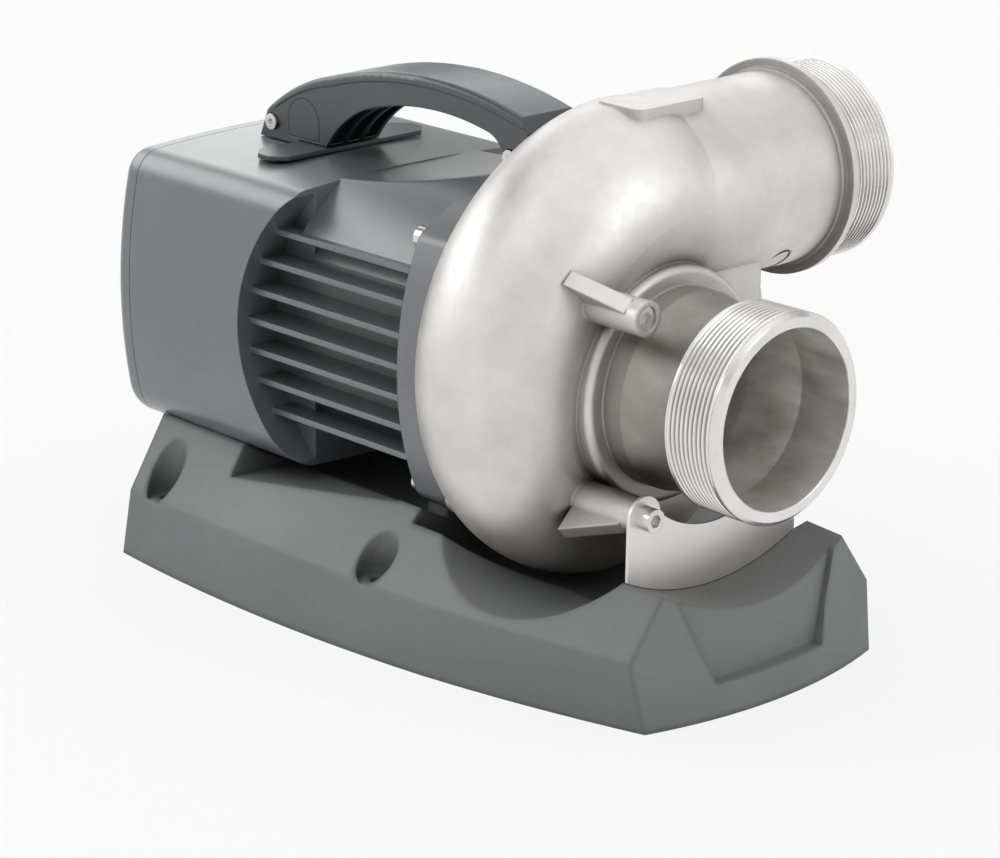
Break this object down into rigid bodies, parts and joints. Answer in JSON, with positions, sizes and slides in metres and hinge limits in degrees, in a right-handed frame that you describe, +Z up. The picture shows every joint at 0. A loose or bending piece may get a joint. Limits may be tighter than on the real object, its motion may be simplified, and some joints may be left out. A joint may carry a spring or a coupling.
{
  "type": "pond pump",
  "caption": "Dry-set pond pump on a moulded base: finned motor case with carrying handle, spiral volute with threaded suction and discharge stubs, and a rotor that spins inside.",
  "frame": {"origin": "on the floor under the shaft's axis, on the base's underside", "axes": "+X along the shaft towards the suction mouth, +Y towards the discharge mouth, +Z up"},
  "size_m": [0.3548, 0.2328, 0.2326],
  "materials": {
    "base_plastic": "moulded, matte",
    "case_plastic": "satin, lightly grained",
    "handle_plastic": "satin",
    "gland_plastic": "satin",
    "cast_steel": "bead blasted casting",
    "steel_sheet": "brushed sheet",
    "steel_screws": "plain stainless",
    "rubber": "matte",
    "board": "lacquered",
    "laminations": "stacked sheet",
    "copper": "enamelled wire",
    "ceramic": "polished ceramic",
    "magnet": "sealed",
    "impeller_plastic": "moulded"
  },
  "bodies": {
    "pump": {"base": "base_plastic", "bracket_plate": "steel_sheet", "bracket_screws": "steel_screws", "boss_screws": "steel_screws", "volute_housing": "cast_steel", "volute_seal": "rubber", "motor_flange": "case_plastic", "flange_screws": "steel_screws", "motor_housing": "case_plastic", "rear_cover": "case_plastic", "rear_cover_seal": "rubber", "rear_cover_screws": "steel_screws", "cable_gland": "gland_plastic", "control_board": "board", "handle": "handle_plastic", "handle_screws": "steel_screws", "handle_plugs": "handle_plastic", "handle_strap": "handle_plastic", "separating_can": "steel_sheet", "stator_core": "laminations", "stator_windings": "copper", "rear_bearing": "ceramic", "front_bearing": "ceramic", "rear_bearing_holder": "gland_plastic", "front_bearing_holder": "gland_plastic"},
    "rotor": {"shaft": "steel_screws", "rotor_magnet": "magnet", "impeller": "impeller_plastic", "impeller_nut": "steel_screws"}
  },
  "joints": [
    {"name": "rotor_spin", "type": "hinge", "parent": "pump", "child": "rotor", "pos_m": [0.04, 0, 0.1185], "axis": [1, 0, 0], "continuous": true}
  ]
}
